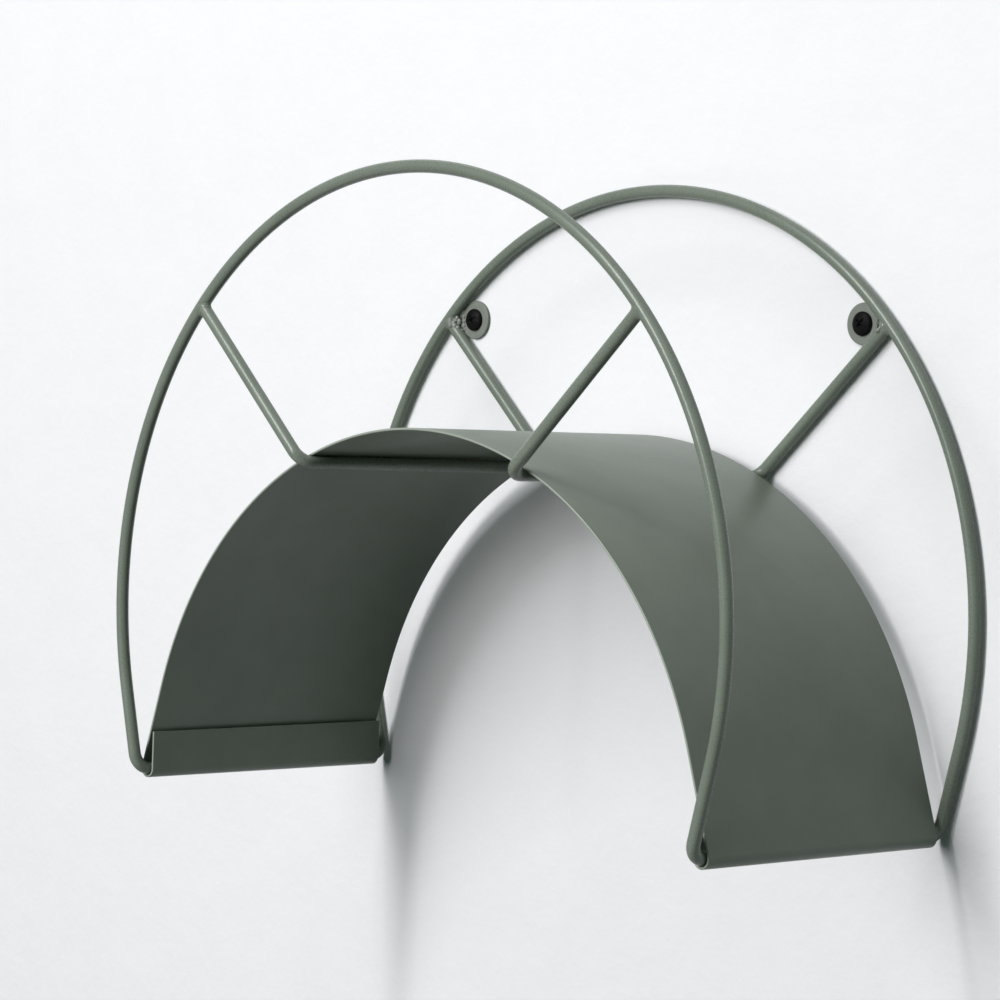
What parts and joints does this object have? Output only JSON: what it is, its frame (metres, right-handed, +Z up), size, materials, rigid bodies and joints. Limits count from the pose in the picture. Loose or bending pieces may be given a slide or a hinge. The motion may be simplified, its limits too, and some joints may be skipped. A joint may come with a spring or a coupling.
{
  "type": "wall hose holder",
  "caption": "Wall-hung hose holder: an arched sheet saddle between two open wire hoops, tied by U-shaped wire stays and screwed to the wall through round lugs.",
  "frame": {"origin": "on the wall, midway between the axes of the two wall screws", "axes": "+Z up, +Y into the wall, +X to the right as seen from the front; the wall is the plane y = 0"},
  "size_m": [0.3492, 0.1827, 0.2534],
  "materials": {
    "coated_wire": "satin green-grey powder coat on bent steel wire",
    "coated_sheet": "satin green-grey powder coat on folded sheet steel",
    "black_screw": "black coated steel screw, slightly glossy",
    "plug_nylon": "matte grey nylon"
  },
  "bodies": {
    "root": {"saddle": "coated_sheet", "front_hoop": "coated_wire", "rear_hoop": "coated_wire", "left_stay": "coated_wire", "right_stay": "coated_wire", "left_lug": "coated_sheet", "right_lug": "coated_sheet", "wall_screws": "black_screw", "wall_plugs": "plug_nylon"}
  },
  "joints": []
}
